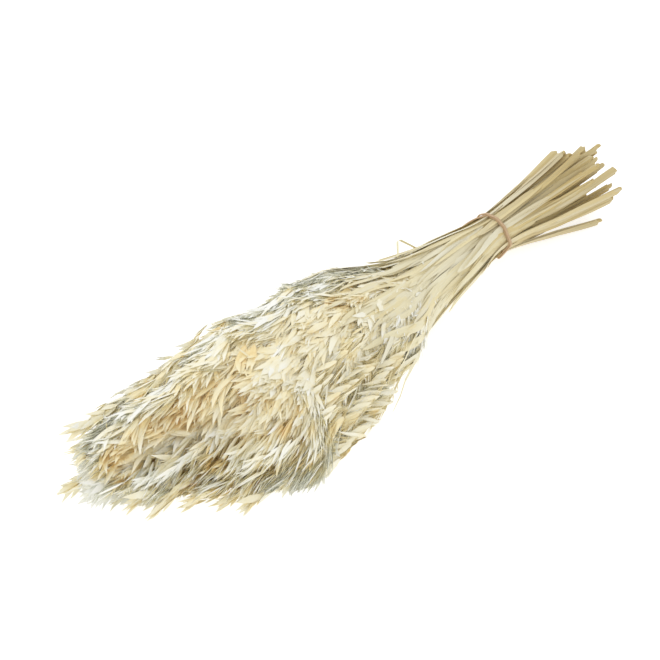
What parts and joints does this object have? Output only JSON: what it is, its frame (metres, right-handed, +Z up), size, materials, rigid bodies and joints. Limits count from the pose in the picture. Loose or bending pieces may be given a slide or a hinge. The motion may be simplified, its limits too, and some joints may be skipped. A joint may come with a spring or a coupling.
{
  "type": "bundle of dried oats",
  "caption": "Bundle of bleached dried oats lying on its side: cut straws held near their ends by a twice wound rubber band, with full papery heads that fan out.",
  "frame": {"origin": "on the table, under the middle of the bundle's box", "axes": "+X along the bundle towards the cut ends of the straws, -X towards the heads, +Z up from the table"},
  "size_m": [0.7, 0.1942, 0.1122],
  "materials": {
    "dried_oat": "matt, bleached straw and papery husks",
    "rubber_band": "matt natural rubber"
  },
  "bodies": {
    "root": {"oat_stalk_01": "dried_oat", "oat_stalk_02": "dried_oat", "oat_stalk_03": "dried_oat", "oat_stalk_04": "dried_oat", "oat_stalk_05": "dried_oat", "oat_stalk_06": "dried_oat", "oat_stalk_07": "dried_oat", "oat_stalk_08": "dried_oat", "oat_stalk_09": "dried_oat", "oat_stalk_10": "dried_oat", "oat_stalk_11": "dried_oat", "oat_stalk_12": "dried_oat", "oat_stalk_13": "dried_oat", "oat_stalk_14": "dried_oat", "oat_stalk_15": "dried_oat", "oat_stalk_16": "dried_oat", "oat_stalk_17": "dried_oat", "oat_stalk_18": "dried_oat", "oat_stalk_19": "dried_oat", "oat_stalk_20": "dried_oat", "oat_stalk_21": "dried_oat", "oat_stalk_22": "dried_oat", "oat_stalk_23": "dried_oat", "oat_stalk_24": "dried_oat", "oat_stalk_25": "dried_oat", "oat_stalk_26": "dried_oat", "oat_stalk_27": "dried_oat", "oat_stalk_28": "dried_oat", "oat_stalk_29": "dried_oat", "oat_stalk_30": "dried_oat", "oat_stalk_31": "dried_oat", "oat_stalk_32": "dried_oat", "oat_stalk_33": "dried_oat", "oat_stalk_34": "dried_oat", "oat_stalk_35": "dried_oat", "oat_stalk_36": "dried_oat", "oat_stalk_37": "dried_oat", "oat_stalk_38": "dried_oat", "oat_stalk_39": "dried_oat", "oat_stalk_40": "dried_oat", "oat_stalk_41": "dried_oat", "oat_stalk_42": "dried_oat", "oat_stalk_43": "dried_oat", "oat_stalk_44": "dried_oat", "oat_stalk_45": "dried_oat", "oat_stalk_46": "dried_oat", "oat_stalk_47": "dried_oat", "oat_stalk_48": "dried_oat", "oat_stalk_49": "dried_oat", "oat_stalk_50": "dried_oat", "oat_stalk_51": "dried_oat", "oat_stalk_52": "dried_oat", "oat_stalk_53": "dried_oat", "oat_stalk_54": "dried_oat", "oat_stalk_55": "dried_oat", "oat_stalk_56": "dried_oat", "oat_stalk_57": "dried_oat", "rubber_band": "rubber_band"}
  },
  "joints": []
}
